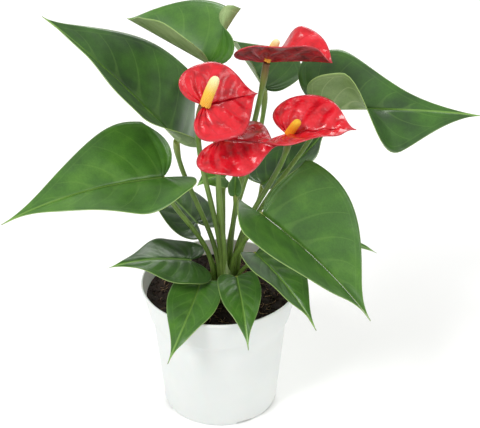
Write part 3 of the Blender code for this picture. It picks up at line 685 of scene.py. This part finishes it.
def stalkTree():
    tree, given = nodeTree("stalkAlongPath", [
        ("Radius", "Float", 0.002), ("Foot Swell", "Float", 1.2), ("Knee Swell", "Float", 1.2),
        ("Sides", "Int", 16), ("Skin", "Material", None)])
    curve = addNode(tree, "GeometryNodeMeshToCurve", {"Mesh": given["Geometry"]})
    factor = addNode(tree, "GeometryNodeSplineParameter").outputs["Factor"]
    foot = addNode(tree, "ShaderNodeMapRange", {
        "Value": factor, "From Min": 0.0, "From Max": 0.25, "To Min": given["Foot Swell"], "To Max": 1.0},
        interpolation_type="SMOOTHSTEP")
    knee = addNode(tree, "ShaderNodeMapRange", {
        "Value": factor, "From Min": 0.86, "From Max": 0.95, "To Min": 0.88, "To Max": given["Knee Swell"]},
        interpolation_type="SMOOTHSTEP")
    swell = addNode(tree, "ShaderNodeMath", {0: foot.outputs[0], 1: knee.outputs[0]}, operation="MULTIPLY")
    marked = addNode(tree, "GeometryNodeStoreNamedAttribute", {
        "Geometry": curve.outputs[0], "Name": "alongStalk", "Value": factor}, data_type="FLOAT", domain="POINT")
    ring = addNode(tree, "GeometryNodeCurvePrimitiveCircle", {
        "Resolution": given["Sides"], "Radius": given["Radius"]}, mode="RADIUS")
    skin = addNode(tree, "GeometryNodeCurveToMesh", {
        "Curve": marked.outputs[0], "Profile Curve": ring.outputs[0], "Scale": swell.outputs[0],
        "Fill Caps": True})
    smooth = addNode(tree, "GeometryNodeSetShadeSmooth", {"Geometry": skin.outputs[0]})
    finishTree(tree, smooth.outputs[0], given["Skin"])
    return tree


stalkNodes = stalkTree()


def pathObject(name, points):
    mesh = bpy.data.meshes.new(name)
    mesh.from_pydata([tuple(p * mm) for p in points], [(i, i + 1) for i in range(len(points) - 1)], [])
    obj = bpy.data.objects.new(name, mesh)
    scene.collection.objects.link(obj)
    return obj


def stalkPath(entry):
    # up from the crown, nearly straight at first, then over to the blade's underside
    base, forward, face = bladeBase(entry)
    end = base - face * (entry["stalk"] + stalkLook["underFace"]) - forward * stalkLook["behindBlade"]
    ring, angle = entry["root"]
    turn = math.radians(angle)
    start = np.array([crown["centre"][0] + crown["rings"][ring] * math.cos(turn),
                      crown["centre"][1] + crown["rings"][ring] * math.sin(turn), crown["top"] + 0.3])
    reach = np.linalg.norm(end - start)
    arrive = end - stalkLook["arrive"] * reach * (0.15 * forward + 0.25 * face + np.array([0, 0, 0.7]))
    points = cubicPoints(start, start + (0, 0, stalkLook["rise"] * reach), arrive, end, stalkLook["steps"])
    sunk = start - (0, 0, stalkLook["sunk"])
    joined = base - face * 0.5 * entry["stalk"]  # the visible stalk runs into its blade
    return np.vstack([[sunk], points, [end, joined]])


def makeStalk(name, entry, node, skin):
    obj = pathObject(name, stalkPath(entry))
    runNodes(obj, stalkNodes, {
        "Radius": entry["stalk"] * mm, "Foot Swell": stalkLook["footSwell"],
        "Knee Swell": stalkLook["kneeSwell"], "Sides": stalkLook["sides"], "Skin": skin})
    return placePiece(obj, node)


for name, entry in leaves.items():
    makeStalk(camel("petiole", name), entry, "petiole_" + name, petioleSkin)
for name, entry in flowers.items():
    makeStalk(camel("peduncle", name), entry, "peduncle_" + name, peduncleSkin)
print("stalks:", len(leaves) + len(flowers))


# Spadices: florets packed on a spiral round a blunt core

spadixLook = {"florets": 520, "golden": 137.508, "bead": 0.46}


def spadixTree():
    # builds a straight spadix on +Z; each point's turn and height follow from its number
    tree, given = nodeTree("floretSpiral", [
        ("Length", "Float", 0.02), ("Radius", "Float", 0.003), ("Bead", "Float", 0.0005),
        ("Count", "Int", 200), ("Golden Angle", "Float", 2.4), ("Florets", "Material", None)])
    index = addNode(tree, "GeometryNodeInputIndex").outputs[0]
    share = calculated(tree, "DIVIDE", index, given["Count"])
    turn = calculated(tree, "MULTIPLY", index, given["Golden Angle"])
    fall = calculated(tree, "POWER", share, 12.0)
    left = calculated(tree, "SUBTRACT", 1.02, fall)
    dome = calculated(tree, "SQRT", left)
    slim = addNode(tree, "ShaderNodeMapRange", {
        "Value": share, "From Min": 0.0, "From Max": 1.0, "To Min": 1.0, "To Max": 0.92})
    profile = calculated(tree, "MULTIPLY", dome, slim.outputs[0])
    radius = calculated(tree, "MULTIPLY", profile, given["Radius"])
    cosine = calculated(tree, "COSINE", turn)
    sine = calculated(tree, "SINE", turn)
    x = calculated(tree, "MULTIPLY", radius, cosine)
    y = calculated(tree, "MULTIPLY", radius, sine)
    z = calculated(tree, "MULTIPLY", share, given["Length"])
    place = addNode(tree, "ShaderNodeCombineXYZ", {0: x, 1: y, 2: z})
    dots = addNode(tree, "GeometryNodePoints", {"Count": given["Count"], "Position": place.outputs[0]})
    bead = addNode(tree, "GeometryNodeMeshIcoSphere", {"Radius": given["Bead"], "Subdivisions": 2})
    beads = addNode(tree, "GeometryNodeInstanceOnPoints",
        {"Points": dots.outputs[0], "Instance": bead.outputs[0]})
    both = addNode(tree, "GeometryNodeJoinGeometry", {"Geometry": beads.outputs[0]})
    tree.links.new(given["Geometry"], both.inputs[0])
    real = addNode(tree, "GeometryNodeRealizeInstances", {"Geometry": both.outputs[0]})
    height = addNode(tree, "ShaderNodeSeparateXYZ", {
        0: addNode(tree, "GeometryNodeInputPosition").outputs[0]}).outputs[2]
    along = calculated(tree, "DIVIDE", height, given["Length"])
    marked = addNode(tree, "GeometryNodeStoreNamedAttribute", {
        "Geometry": real.outputs[0], "Name": "alongSpadix", "Value": along}, data_type="FLOAT", domain="POINT")
    smooth = addNode(tree, "GeometryNodeSetShadeSmooth", {"Geometry": marked.outputs[0]})
    finishTree(tree, smooth.outputs[0], given["Florets"])
    return tree


spadixNodes = spadixTree()


def latheMesh(name, profile, steps, materials):
    # a closed (radius, height) profile turned round Z; radius 0 ends meet in one point
    points, faces, rings = [], [], []
    for radius, height in profile:
        if radius == 0:
            rings.append([len(points)] * steps)
            points.append((0, 0, height * mm))
            continue
        rings.append(list(range(len(points), len(points) + steps)))
        for i in range(steps):
            turn = 2 * math.pi * i / steps
            points.append((radius * math.cos(turn) * mm, radius * math.sin(turn) * mm, height * mm))
    for lower, upper in zip(rings, rings[1:]):
        for i in range(steps):
            j = (i + 1) % steps
            face = [lower[i], lower[j], upper[j], upper[i]]
            faces.append(list(dict.fromkeys(face)))
    obj = meshObject(name, points, [face for face in faces if len(face) > 2], materials)
    work = bmesh.new()
    work.from_mesh(obj.data)
    bmesh.ops.recalc_face_normals(work, faces=work.faces)
    work.to_mesh(obj.data)
    work.free()
    return obj


def makeSpadix(name, entry, node, florets):
    base, _, face = bladeBase(entry)
    lean = np.array(entry["spadix"], float)
    length, radius = float(np.linalg.norm(lean)) + 1.5, entry["spadixRadius"] - 0.25
    profile = [(0, 0)] + [(radius * math.sqrt(1.02 - t ** 12) * (1 - 0.08 * t) * 0.94, length * t)
                          for t in np.linspace(0.02, 0.97, 14)] + [(0, length * 1.0)]
    core = latheMesh(name, profile, 20, [florets])
    runNodes(core, spadixNodes, {
        "Length": length * mm, "Radius": radius * mm, "Bead": spadixLook["bead"] * mm * radius / 2.4,
        "Count": int(spadixLook["florets"] * length / 25), "Golden Angle": math.radians(spadixLook["golden"]),
        "Florets": florets})
    axis = lean / np.linalg.norm(lean)
    side = np.cross(axis, (0, 1, 0))
    side /= np.linalg.norm(side)
    other = np.cross(axis, side)
    start = base + face * 1.2
    for vertex in core.data.vertices:
        x, y, z = (c / mm for c in vertex.co)
        bow = 0.06 * z * (1 - z / length)  # a slight lengthwise bow
        vertex.co = Vector(start + axis * z + side * (x + bow) + other * y) * mm
    return placePiece(core, node)


for name, entry in flowers.items():
    florets = spadixOrange if name == "right" else spadixCream
    makeSpadix(camel("spadix", name), entry, "spadix_" + name, florets)
print("spadices:", len(flowers))

for seed, (name, entry) in enumerate(sheaths.items()):
    skin = huskBrown if name == "sheath_dry" else leafUnder
    sheath = bladeObject(camel("", name),
        {"quilt": 0.1, "wave": 0.4, "grid": (8, 24, 8), "thick": 0.4, **entry},
                         [skin, skin, skin], seed + 40)
    placePiece(sheath, name)

dryRoot = {"path": [(-13, -4, 97), (-15, -5, 104), (-13, -2, 111), (-15, -1, 118)], "radius": 1.4}
root = pathObject("dryRoot", np.vstack([cubicPoints(*dryRoot["path"], 20), [dryRoot["path"][3]]]))
runNodes(root, stalkNodes, {"Radius": dryRoot["radius"] * mm, "Foot Swell": 1.1, "Knee Swell": 0.6,
                            "Sides": 10, "Skin": huskBrown})
for vertex in root.data.vertices:
    x, y, z = (c / mm for c in vertex.co)
    vertex.co += Vector((math.sin(1.9 * z), math.cos(2.3 * z + x), 0)) * 0.25 * mm
placePiece(root, "dry_root")


# Pot

pot = {
    "rim": 60.0, "height": 106.0, "lip": 3.0, "wall": 1.4, "collar": 54.4, "collarBottom": 80.0,
    "bodyTop": 50.8, "bodyTopHeight": 71.0, "base": 44.3, "floor": 2.0, "foot": 2.0, "footWidth": 4.0,
    "pad": 14.0, "holes": 8, "holeRadius": 4.0, "holeRing": 28.0, "notches": 4, "notchWidth": 12.0,
    "firstNotch": -65.0, "steps": 160,
}


def wallRadius(height):
    heights = (0, pot["bodyTopHeight"], pot["collarBottom"], pot["height"] - pot["lip"], pot["height"])
    radii = (pot["base"], pot["bodyTop"], pot["collar"], pot["rim"] - 0.8, pot["rim"])
    return float(np.interp(height, heights, radii))


def makePot():
    top, floorTop = pot["height"], pot["foot"] + pot["floor"]
    inner = pot["rim"] - pot["wall"]
    bodyHeights = np.linspace(pot["bodyTopHeight"] - 3, 4, 9)
    outer = [(inner, top - 0.5), (inner + 0.3, top - 0.1), (inner + 0.6, top), (pot["rim"] - 0.5, top),
             (pot["rim"] - 0.15, top - 0.15), (pot["rim"], top - 0.6), (pot["rim"], top - pot["lip"] + 0.5),
             (pot["rim"] - 0.2, top - pot["lip"] + 0.1), (wallRadius(top - pot["lip"]), top - pot["lip"]),
             (wallRadius(95), 95), (wallRadius(88), 88), (pot["collar"] + 0.2, pot["collarBottom"] + 1),
             (pot["collar"] - 0.1, pot["collarBottom"]), (pot["collar"] - 0.9, pot["collarBottom"] - 1.2),
             (pot["collar"] - 1.6, pot["collarBottom"] - 3.2), (pot["bodyTop"] + 0.7,
                 pot["bodyTopHeight"] + 2),
             (pot["bodyTop"] + 0.1, pot["bodyTopHeight"] - 1)]
    outer += [(float(np.interp(z, (2, pot["bodyTopHeight"] - 2), (pot["base"] + 0.2, pot["bodyTop"]))),
        float(z))
              for z in bodyHeights]
    outer += [(pot["base"] + 0.1, 1.2), (pot["base"] - 0.3, 0.3), (pot["base"] - 0.9, 0),
              (pot["base"] - pot["footWidth"], 0), (pot["base"] - pot["footWidth"] - 0.5, pot["foot"]),
              (pot["pad"] + 0.5, pot["foot"]), (pot["pad"], 0), (0, 0)]
    inside = [(0, floorTop), (wallRadius(floorTop) - pot["wall"] - 2, floorTop),
              (wallRadius(floorTop + 3) - pot["wall"], floorTop + 3),
              (pot["bodyTop"] - pot["wall"], pot["bodyTopHeight"] - 2),
              (pot["collar"] - pot["wall"] - 0.9, pot["collarBottom"] - 1.2),
              (pot["collar"] - pot["wall"], pot["collarBottom"]), (inner, top - 0.5)]
    # the outer skin and the inner skin are one closed wall, with a solid floor between them
    obj = latheMesh("nurseryPot", outer + inside, pot["steps"], [potWhite])
    cutters = []
    for i in range(pot["holes"]):
        bpy.ops.mesh.primitive_cylinder_add(vertices=24, radius=pot["holeRadius"] * mm, depth=8 * mm)
        turn = 2 * math.pi * i / pot["holes"]
        cutters.append(bpy.context.object)
        cutters[-1].location = Vector((
            pot["holeRing"] * math.cos(turn), pot["holeRing"] * math.sin(turn), pot["foot"] + 1)) * mm
    for i in range(pot["notches"]):
        bpy.ops.mesh.primitive_cube_add(size=1)
        turn = math.radians(pot["firstNotch"] + 360 * i / pot["notches"])
        cutters.append(bpy.context.object)
        cutters[-1].scale = (12 * mm, pot["notchWidth"] * mm, 2 * pot["foot"] * mm)
        cutters[-1].rotation_euler.z = turn
        cutters[-1].location = Vector((pot["base"] * math.cos(turn), pot["base"] * math.sin(turn),
            -0.1)) * mm
    for cutter in cutters:
        cut = obj.modifiers.new("Cut", "BOOLEAN")
        cut.operation, cut.solver, cut.object = "DIFFERENCE", "EXACT", cutter
    settle(obj)
    for cutter in cutters:
        bpy.data.objects.remove(cutter)
    return obj


nurseryPot = makePot()
work = bmesh.new()
work.from_mesh(nurseryPot.data)
bmesh.ops.remove_doubles(work, verts=work.verts, dist=0.001 * mm)
for edge in work.edges:
    if len(edge.link_faces) == 2 and edge.calc_face_angle(0) > math.radians(40):
        edge.smooth = False
work.to_mesh(nurseryPot.data)
work.free()
placePiece(nurseryPot, "pot")
print("pot:", len(nurseryPot.data.polygons), "faces")


# Peat: a lumpy bed with crumbs and rootlets scattered over it

soil = {
    "top": 94.0, "lump": 1.3, "rings": 34, "steps": 120,
    "crumbDensity": 95000.0, "crumbSize": 0.0011, "fibreDensity": 26000.0, "fibreLength": 0.008,
    "seed": 7,
}


def soilHeight(x, y):
    lumps = math.sin(0.31 * x + 1) * math.cos(0.27 * y) + 0.5 * math.sin(0.57 * y + 0.4 * x)
    lumps += 0.45 * math.sin(1.3 * x + 0.7 * y) * math.cos(1.1 * y - 0.5 * x)
    return soil["lump"] * 0.8 * lumps


def makeSoil():
    outer = wallRadius(soil["top"]) - pot["wall"] - 0.05
    points, faces = [(0, 0, soil["top"] * mm)], []
    for ring in range(1, soil["rings"] + 1):
        radius = outer * ring / soil["rings"]
        for i in range(soil["steps"]):
            turn = 2 * math.pi * i / soil["steps"]
            x, y = radius * math.cos(turn), radius * math.sin(turn)
            calm = min(1, (outer - radius) / 4)
            points.append((x * mm, y * mm, (soil["top"] + soilHeight(x, y) * calm) * mm))
    count = soil["steps"]
    for i in range(count):
        faces.append((0, 1 + i, 1 + (i + 1) % count))
    for ring in range(soil["rings"] - 1):
        for i in range(count):
            a, b = 1 + ring * count + i, 1 + ring * count + (i + 1) % count
            faces.append((a, a + count, b + count, b))
    top = meshObject("peatSurface", points, faces, [peatDark])
    lower = [(wallRadius(z) - pot["wall"] - 0.4 - extra, z) for z,
        extra in ((93, 0), (80, 0.4), (70, 1), (8, 0.2))]
    bed = meshObject("peatBed", points, faces, [peatDark])
    work = bmesh.new()
    work.from_mesh(bed.data)
    work.verts.ensure_lookup_table()
    edgeRing = [work.verts[1 + (soil["rings"] - 1) * count + i] for i in range(count)]
    for radius, height in lower:
        ringVerts = []
        for i in range(count):
            turn = 2 * math.pi * i / count
            ringVerts.append(work.verts.new((radius * math.cos(turn) * mm, radius * math.sin(turn) * mm,
                height * mm)))
        for i in range(count):
            j = (i + 1) % count
            work.faces.new((edgeRing[i], ringVerts[i], ringVerts[j], edgeRing[j]))
        edgeRing = ringVerts
    work.faces.new(edgeRing[::-1])
    bmesh.ops.recalc_face_normals(work, faces=work.faces)
    work.to_mesh(bed.data)
    work.free()
    return bed, top


def scatterTree():
    tree, given = nodeTree("peatScatter", [
        ("Crumb Density", "Float", 1.0), ("Crumb Size", "Float", 0.001), ("Fibre Density", "Float", 1.0),
        ("Fibre Length", "Float", 0.008), ("Bed Radius", "Float", 0.055), ("Seed", "Int", 1), ("Peat",
            "Material", None), ("Fibre", "Material", None)])
    flat = addNode(tree, "ShaderNodeVectorMath", {
        0: addNode(tree, "GeometryNodeInputPosition").outputs[0], 1: (1.0, 1.0, 0.0)}, operation="MULTIPLY")
    outward = addNode(tree, "ShaderNodeVectorMath", {0: flat.outputs[0]},
        operation="LENGTH").outputs["Value"]
    crumbLimit = calculated(tree, "SUBTRACT", given["Bed Radius"], 0.002)
    fibreLimit = calculated(tree, "SUBTRACT", given["Bed Radius"], given["Fibre Length"])
    crumbRoom = addNode(tree, "FunctionNodeCompare", {0: outward, 1: crumbLimit},
        operation="LESS_THAN").outputs[0]
    fibreRoom = addNode(tree, "FunctionNodeCompare", {0: outward, 1: fibreLimit},
        operation="LESS_THAN").outputs[0]
    spots = addNode(tree, "GeometryNodeDistributePointsOnFaces", {
        "Mesh": given["Geometry"], "Selection": crumbRoom, "Density": given["Crumb Density"],
        "Seed": given["Seed"]})
    crumb = addNode(tree, "GeometryNodeMeshIcoSphere", {"Radius": given["Crumb Size"], "Subdivisions": 2})
    rough = addNode(tree, "ShaderNodeTexNoise", {"Scale": 700.0})
    push = addNode(tree, "ShaderNodeVectorMath", {
        0: rough.outputs["Color"], 1: (0.5, 0.5, 0.5)}, operation="SUBTRACT")
    pushed = addNode(tree, "ShaderNodeVectorMath", {0: push.outputs[0], 3: 0.0018}, operation="SCALE")
    crumbShape = addNode(tree, "GeometryNodeSetPosition",
        {"Geometry": crumb.outputs[0], "Offset": pushed.outputs[0]})
    crumbTurn = addNode(tree, "FunctionNodeRandomValue", {0: (0, 0, 0), 1: (6.28, 6.28, 6.28), 8: 3},
                        data_type="FLOAT_VECTOR")
    crumbScale = addNode(tree, "FunctionNodeRandomValue", {0: (0.35, 0.35, 0.3), 1: (1.5, 1.5, 1.0), 8: 5},
                         data_type="FLOAT_VECTOR")
    crumbs = addNode(tree, "GeometryNodeInstanceOnPoints", {
        "Points": spots.outputs[0], "Instance": crumbShape.outputs[0],
        "Rotation": crumbTurn.outputs[0], "Scale": crumbScale.outputs[0]})
    crumbReal = addNode(tree, "GeometryNodeRealizeInstances", {"Geometry": crumbs.outputs[0]})
    crumbPaint = addNode(tree, "GeometryNodeSetMaterial", {
        "Geometry": crumbReal.outputs[0], "Material": given["Peat"]})
    fibreSpots = addNode(tree, "GeometryNodeDistributePointsOnFaces", {
        "Mesh": given["Geometry"], "Selection": fibreRoom, "Density": given["Fibre Density"],
        "Seed": given["Seed"]})
    middle = addNode(tree, "ShaderNodeCombineXYZ", {1: 0.0035, 2: 0.0012, 0: 0.003})
    end = addNode(tree, "ShaderNodeCombineXYZ", {0: given["Fibre Length"]})
    thread = addNode(tree, "GeometryNodeCurveQuadraticBezier", {
        "Resolution": 8, "Start": (0, 0, 0), "Middle": middle.outputs[0], "End": end.outputs[0]})
    ring = addNode(tree, "GeometryNodeCurvePrimitiveCircle", {"Resolution": 5, "Radius": 0.00022},
        mode="RADIUS")
    fibre = addNode(tree, "GeometryNodeCurveToMesh", {
        "Curve": thread.outputs[0], "Profile Curve": ring.outputs[0], "Fill Caps": True})
    fibreTurn = addNode(tree, "FunctionNodeRandomValue",
        {0: (-0.25, -0.25, 0), 1: (0.25, 0.25, 6.28), 8: 11},
                        data_type="FLOAT_VECTOR")
    fibreScale = addNode(tree, "FunctionNodeRandomValue", {0: (0.4, 0.4, 0.4), 1: (1.5, 1.6, 1.2), 8: 13},
                         data_type="FLOAT_VECTOR")
    fibres = addNode(tree, "GeometryNodeInstanceOnPoints", {
        "Points": fibreSpots.outputs[0], "Instance": fibre.outputs[0],
        "Rotation": fibreTurn.outputs[0], "Scale": fibreScale.outputs[0]})
    fibreReal = addNode(tree, "GeometryNodeRealizeInstances", {"Geometry": fibres.outputs[0]})
    fibrePaint = addNode(tree, "GeometryNodeSetMaterial", {
        "Geometry": fibreReal.outputs[0], "Material": given["Fibre"]})
    both = addNode(tree, "GeometryNodeJoinGeometry", {0: crumbPaint.outputs[0]})
    tree.links.new(fibrePaint.outputs[0], both.inputs[0])
    smooth = addNode(tree, "GeometryNodeSetShadeSmooth", {"Geometry": both.outputs[0]})
    addNode(tree, "NodeGroupOutput", {"Geometry": smooth.outputs[0]})
    return tree


peatBed, peatSurface = makeSoil()
scatterNodes = scatterTree()
placePiece(peatBed, "soil")
peatSurface.name = "peatCrumbs"
runNodes(peatSurface, scatterNodes, {
    "Crumb Density": soil["crumbDensity"], "Crumb Size": soil["crumbSize"],
    "Fibre Density": soil["fibreDensity"], "Fibre Length": soil["fibreLength"],
    "Bed Radius": (wallRadius(soil["top"]) - pot["wall"]) * mm, "Seed": soil["seed"],
    "Peat": peatDark, "Fibre": peatFibre})
placePiece(peatSurface, None)
print("peat:", len(peatSurface.data.polygons), "faces of crumbs and rootlets")


# Crown: the ridged stump that the stalks leave

def makeCrown():
    profile = [(0, crown["bottom"] - 3), (crown["bottomRadius"] + 0.6, crown["bottom"] - 3)]
    profile += [(crown["bottomRadius"] + (crown["topRadius"] - crown["bottomRadius"]) * t,
                 crown["bottom"] + (crown["top"] - crown["bottom"]) * t) for t in np.linspace(0, 1, 10)]
    profile += [(crown["topRadius"] * 0.8, crown["top"] + 0.2),
                (crown["topRadius"] * 0.4, crown["top"] + 0.3), (0, crown["top"] + 0.3)]
    obj = latheMesh("crownStump", profile, 96, [crownSkin])
    for vertex in obj.data.vertices:
        x, y, z = (c / mm for c in vertex.co)
        turn, radius = math.atan2(y, x), math.hypot(x, y)
        ridge = 0.7 * math.sin(9 * turn + 0.5 * z) + 0.4 * math.sin(17 * turn - 0.8 * z)
        ridge += 0.5 * math.sin(1.1 * z)
        grow = 1 + ridge / max(radius, 6) * min(1, radius / 8)
        vertex.co = Vector((x * grow + crown["centre"][0], y * grow + crown["centre"][1], z)) * mm
    return obj


placePiece(makeCrown(), "crown_stem")
print("crown ready")


# Floor, light and camera

studio = {"floor": "#fafaf9", "world": 0.6, "key": 20.0, "fill": 6.0, "back": 10.0}
floorPaper = startMaterial("paperFloor", Base_Color=hexColour(studio["floor"]), Roughness=0.9)[0]
floor = meshObject("floor", [(-3, -3, 0), (3, -3, 0), (3, 3, 0), (-3, 3, 0)], [(0, 1, 2, 3)], [floorPaper])

world = bpy.data.worlds.new("softWhiteRoom")
scene.world = world
world.use_nodes = True
sky = world.node_tree.nodes["Background"]
sky.inputs["Color"].default_value = (1, 1, 1, 1)
seen = addNode(world.node_tree, "ShaderNodeLightPath").outputs["Is Camera Ray"]
glow = addNode(world.node_tree, "ShaderNodeMapRange", {0: seen, 3: studio["world"], 4: 1.0})
world.node_tree.links.new(glow.outputs[0], sky.inputs["Strength"])


def softBox(name, place, size, power):
    light = bpy.data.lights.new(name, "AREA")
    light.shape, light.size, light.energy = "DISK", size, power
    lamp = bpy.data.objects.new(name, light)
    lamp.location = place
    lamp.rotation_euler = (Vector((0, 0, 0.18)) - Vector(place)).to_track_quat("-Z", "Y").to_euler()
    scene.collection.objects.link(lamp)


scene.view_settings.view_transform = "Standard"
softBox("keyBox", (-0.9, -0.9, 1.5), 0.7, studio["key"])
softBox("fillBox", (1.2, -0.8, 0.9), 0.9, studio["fill"])
softBox("backBox", (0.3, 1.1, 1.3), 0.8, studio["back"])

shot = {"place": (0.0155, -0.893, 0.697), "tilt": 59.2, "lens": 105.1}
camera = bpy.data.objects.new("camera", bpy.data.cameras.new("camera"))
camera.data.lens, camera.data.sensor_width = shot["lens"], 36.0
camera.location = shot["place"]
camera.rotation_euler = (math.radians(shot["tilt"]), 0, 0)
scene.collection.objects.link(camera)
scene.camera = camera

print("scene ready")
